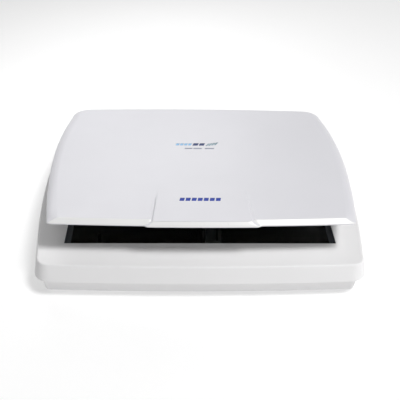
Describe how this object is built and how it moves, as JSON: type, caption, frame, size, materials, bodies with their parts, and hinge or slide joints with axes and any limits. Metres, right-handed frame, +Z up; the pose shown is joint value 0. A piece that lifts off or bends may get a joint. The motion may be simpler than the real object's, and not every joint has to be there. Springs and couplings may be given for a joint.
{
  "type": "flatbed scanner",
  "caption": "Low white flatbed scanner with a bowed base, an ajar hinged lid, a dark document glass and a belt-driven sensor bar that travels under it",
  "frame": {"origin": "On the desk surface under the middle of the base, which is the bottom centre of the bounding box", "axes": "+X to the right as the user faces the scanner, along the long side of the glass, +Y to the back, where the lid is hinged, +Z up"},
  "size_m": [0.396, 0.3094, 0.1008],
  "materials": {
    "base_white": "fine satin moulding",
    "lid_white": "fine satin moulding",
    "pad_white": "smooth white film over foam",
    "clear_glass": "polished float glass",
    "border_film": "matt dark film",
    "inner_black": "matt black moulding",
    "chip_black": "satin black",
    "foot_rubber": "matt rubber",
    "plain_steel": "ground steel",
    "zinc_plate": "zinc plated",
    "nylon_white": "natural nylon",
    "board_green": "solder mask"
  },
  "bodies": {
    "base": {"base_cover": "base_white", "base_tray": "base_white", "glass_pane": "clear_glass", "glass_border": "border_film", "scan_well": "inner_black", "reference_strip": "pad_white", "foot_front_left": "foot_rubber", "foot_front_right": "foot_rubber", "foot_rear_left": "foot_rubber", "foot_rear_right": "foot_rubber", "case_screw_front_left": "zinc_plate", "case_screw_front_right": "zinc_plate", "case_screw_rear_left": "zinc_plate", "case_screw_rear_right": "zinc_plate", "main_board": "board_green", "processor_chip": "chip_black", "board_screw_left": "zinc_plate", "board_screw_right": "zinc_plate", "usb_shell": "zinc_plate", "usb_tongue": "nylon_white", "power_jack": "chip_black", "power_jack_pin": "plain_steel", "sensor_cable": "nylon_white", "guide_rod": "plain_steel", "rod_bracket_left": "zinc_plate", "rod_bracket_right": "zinc_plate", "support_rail": "inner_black", "drive_belt": "foot_rubber", "pulley_axle_left": "plain_steel", "pulley_axle_right": "plain_steel", "motor_body": "plain_steel", "motor_bracket": "zinc_plate"},
    "hinge_legs": {"hinge_leg_left": "nylon_white", "hinge_leg_right": "nylon_white"},
    "lid": {"lid_shell": "lid_white", "lid_liner": "base_white", "document_pad": "pad_white", "hinge_pin_left": "plain_steel", "hinge_pin_right": "plain_steel", "lid_bumper_left": "foot_rubber", "lid_bumper_right": "foot_rubber", "lid_screw_front_left": "zinc_plate", "lid_screw_rear_left": "zinc_plate", "lid_screw_front_right": "zinc_plate", "lid_screw_rear_right": "zinc_plate"},
    "carriage": {"carriage_frame": "inner_black", "sensor_bar": "chip_black", "sensor_window": "clear_glass", "sensor_spring_front": "plain_steel", "sensor_spring_rear": "plain_steel", "sensor_glider_front": "nylon_white", "sensor_glider_rear": "nylon_white", "belt_clamp": "nylon_white"},
    "drive_wheel": {"drive_pulley": "nylon_white"},
    "idler_wheel": {"idler_pulley": "nylon_white"},
    "motor_rotor": {"motor_pinion": "nylon_white"},
    "transport_lock": {"carriage_lock": "inner_black"}
  },
  "joints": [
    {"name": "hinge_lift", "type": "slide", "parent": "base", "child": "hinge_legs", "axis": [0, 0, 1], "range_m": [0, 0.012]},
    {"name": "lid_hinge", "type": "hinge", "parent": "hinge_legs", "child": "lid", "pos_m": [0, 0.14, 0.0573], "axis": [-1, 0, 0], "range_deg": [-9.5, 72]},
    {"name": "carriage_slide", "type": "slide", "parent": "base", "child": "carriage", "axis": [1, 0, 0], "range_m": [-0.1635, 0.1335]},
    {"name": "drive_wheel_spin", "type": "hinge", "parent": "base", "child": "drive_wheel", "pos_m": [-0.156, 0.014, 0.0145], "axis": [0, 0, 1], "continuous": true},
    {"name": "idler_wheel_spin", "type": "hinge", "parent": "base", "child": "idler_wheel", "pos_m": [0.164, 0.014, 0.0145], "axis": [0, 0, 1], "continuous": true},
    {"name": "motor_spin", "type": "hinge", "parent": "base", "child": "motor_rotor", "pos_m": [-0.156, 0.0345, 0.0105], "axis": [0, 0, 1], "continuous": true},
    {"name": "transport_lock_slide", "type": "slide", "parent": "base", "child": "transport_lock", "axis": [0, 1, 0], "range_m": [0, 0.008]}
  ],
  "couplings": [
    {"joint": "drive_wheel_spin", "follows": "carriage_slide", "rad_per_m": -169.5},
    {"joint": "idler_wheel_spin", "follows": "carriage_slide", "rad_per_m": -169.5},
    {"joint": "motor_spin", "follows": "carriage_slide", "rad_per_m": 508.5}
  ]
}
